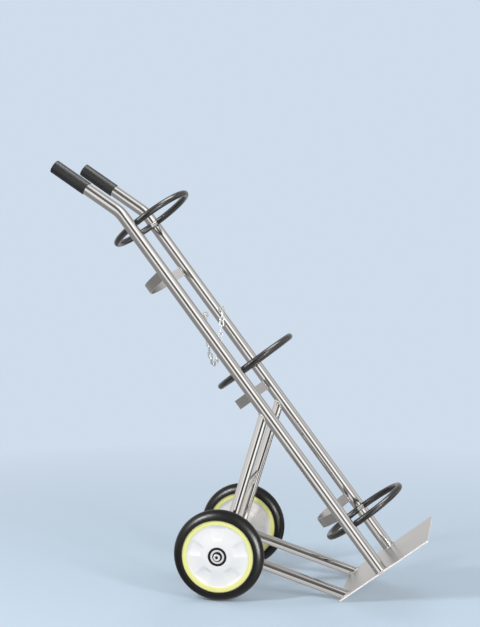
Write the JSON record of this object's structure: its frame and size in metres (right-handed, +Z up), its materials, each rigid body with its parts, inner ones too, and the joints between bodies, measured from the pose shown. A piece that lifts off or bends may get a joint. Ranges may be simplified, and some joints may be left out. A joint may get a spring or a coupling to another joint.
{
  "type": "gas cylinder trolley",
  "caption": "Two-wheeled stainless tube hand trolley with rubber-sleeved hoops, cradle bars, a retaining chain and a toe plate, parked leaning back.",
  "frame": {"origin": "on the floor, at the middle of the bounding box seen from above", "axes": "+X across to the left side as seen by the person pushing, -Y to the front where the toe plate points, +Z up from the floor the wheels stand on"},
  "size_m": [0.44, 1.0462, 1.1983],
  "materials": {
    "polished_stainless": "polished",
    "rod_steel": "satin",
    "sleeve_rubber": "semi-matte hose",
    "grip_rubber": "semi-matte",
    "tyre_rubber": "matte",
    "rim_yellow": "satin",
    "hub_white": "satin",
    "zinc_chain": "zinc plated",
    "bearing_steel": "ground",
    "seal_rubber": "matte",
    "zinc_bolt": "zinc plated"
  },
  "bodies": {
    "frame": {"left_rail": "polished_stainless", "right_rail": "polished_stainless", "left_grip": "grip_rubber", "right_grip": "grip_rubber", "upper_hoop_ring": "rod_steel", "middle_hoop_ring": "rod_steel", "lower_hoop_ring": "rod_steel", "upper_front_sleeve": "sleeve_rubber", "upper_rear_sleeve": "sleeve_rubber", "middle_front_sleeve": "sleeve_rubber", "middle_rear_sleeve": "sleeve_rubber", "lower_front_sleeve": "sleeve_rubber", "lower_rear_sleeve": "sleeve_rubber", "upper_cradle": "polished_stainless", "middle_cradle": "polished_stainless", "lower_cradle": "polished_stainless", "toe_plate": "polished_stainless", "left_upper_strut": "polished_stainless", "right_upper_strut": "polished_stainless", "left_lower_strut": "polished_stainless", "right_lower_strut": "polished_stainless", "strut_cross_bar": "polished_stainless", "axle_tube": "polished_stainless", "axle_shaft": "bearing_steel", "left_chain_eye": "polished_stainless", "right_chain_eye": "polished_stainless", "left_bearing_inner_rings": "bearing_steel", "left_bearing_spacer": "bearing_steel", "left_axle_collar": "bearing_steel", "left_washer": "zinc_bolt", "left_sealing_washer": "seal_rubber", "left_axle_bolt": "zinc_bolt", "right_bearing_inner_rings": "bearing_steel", "right_bearing_spacer": "bearing_steel", "right_axle_collar": "bearing_steel", "right_washer": "zinc_bolt", "right_sealing_washer": "seal_rubber", "right_axle_bolt": "zinc_bolt"},
    "left_wheel": {"left_tyre": "tyre_rubber", "left_rim": "rim_yellow", "left_hub": "hub_white", "left_bearing_outer_rings": "bearing_steel", "left_bearing_balls": "bearing_steel", "left_dust_seals": "seal_rubber"},
    "right_wheel": {"right_tyre": "tyre_rubber", "right_rim": "rim_yellow", "right_hub": "hub_white", "right_bearing_outer_rings": "bearing_steel", "right_bearing_balls": "bearing_steel", "right_dust_seals": "seal_rubber"},
    "chain": {"chain_links": "zinc_chain", "chain_hook": "zinc_chain"}
  },
  "joints": [
    {"name": "left_wheel_spin", "type": "hinge", "parent": "frame", "child": "left_wheel", "pos_m": [0.18604, 0.0404, 0.125], "axis": [1, 0, 0], "continuous": true},
    {"name": "right_wheel_spin", "type": "hinge", "parent": "frame", "child": "right_wheel", "pos_m": [-0.18604, 0.0404, 0.125], "axis": [1, 0, 0], "continuous": true},
    {"name": "chain_swing", "type": "hinge", "parent": "frame", "child": "chain", "pos_m": [0, 0.08947, 0.77614], "axis": [-1, 0, 0], "range_deg": [-8, 125]}
  ]
}
